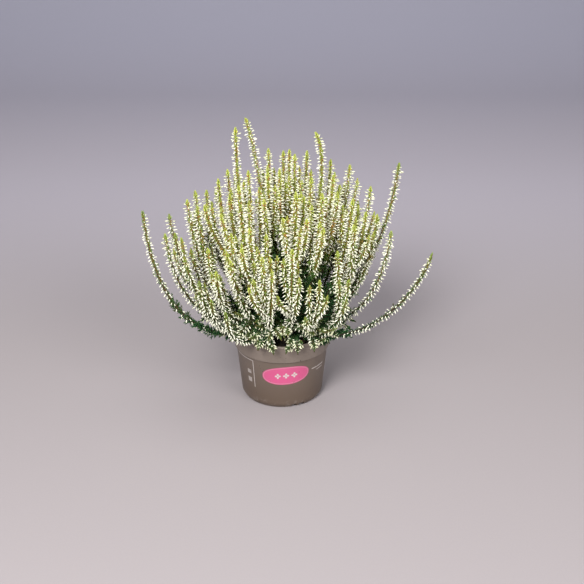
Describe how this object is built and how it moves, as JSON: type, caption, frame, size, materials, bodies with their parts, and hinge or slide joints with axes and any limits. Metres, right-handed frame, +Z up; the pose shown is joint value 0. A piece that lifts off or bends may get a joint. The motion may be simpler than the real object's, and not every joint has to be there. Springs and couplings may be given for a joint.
{
  "type": "potted heather",
  "caption": "Heather plant with upright bud-covered spikes and a few low sweeping stems, growing in a round stepped nursery pot.",
  "frame": {"origin": "centre of the pot's underside, on the floor", "axes": "+Z up the plant, -Y towards the side the picture is taken from, +X to that picture's right"},
  "size_m": [0.3167, 0.2095, 0.329],
  "materials": {
    "pot": "satin",
    "peat": "matte",
    "shoot": "matte",
    "sprig": "matte"
  },
  "bodies": {
    "root": {"pot": "pot", "peat": "peat", "shoot_01": "shoot", "shoot_02": "shoot", "shoot_03": "shoot", "shoot_04": "shoot", "shoot_05": "shoot", "shoot_06": "shoot", "shoot_07": "shoot", "shoot_08": "shoot", "shoot_09": "shoot", "shoot_10": "shoot", "shoot_11": "shoot", "shoot_12": "shoot", "shoot_13": "shoot", "shoot_14": "shoot", "shoot_15": "shoot", "shoot_16": "shoot", "shoot_17": "shoot", "shoot_18": "shoot", "shoot_19": "shoot", "shoot_20": "shoot", "shoot_21": "shoot", "shoot_22": "shoot", "shoot_23": "shoot", "shoot_24": "shoot", "shoot_25": "shoot", "shoot_26": "shoot", "shoot_27": "shoot", "shoot_28": "shoot", "shoot_29": "shoot", "shoot_30": "shoot", "shoot_31": "shoot", "shoot_32": "shoot", "shoot_33": "shoot", "shoot_34": "shoot", "shoot_35": "shoot", "shoot_36": "shoot", "shoot_37": "shoot", "shoot_38": "shoot", "shoot_39": "shoot", "shoot_40": "shoot", "shoot_41": "shoot", "shoot_42": "shoot", "shoot_43": "shoot", "shoot_44": "shoot", "shoot_45": "shoot", "shoot_46": "shoot", "shoot_47": "shoot", "shoot_48": "shoot", "shoot_49": "shoot", "shoot_50": "shoot", "shoot_51": "shoot", "shoot_52": "shoot", "shoot_53": "sprig", "shoot_54": "sprig", "shoot_55": "sprig", "shoot_56": "sprig", "shoot_57": "sprig", "shoot_58": "sprig"}
  },
  "joints": []
}
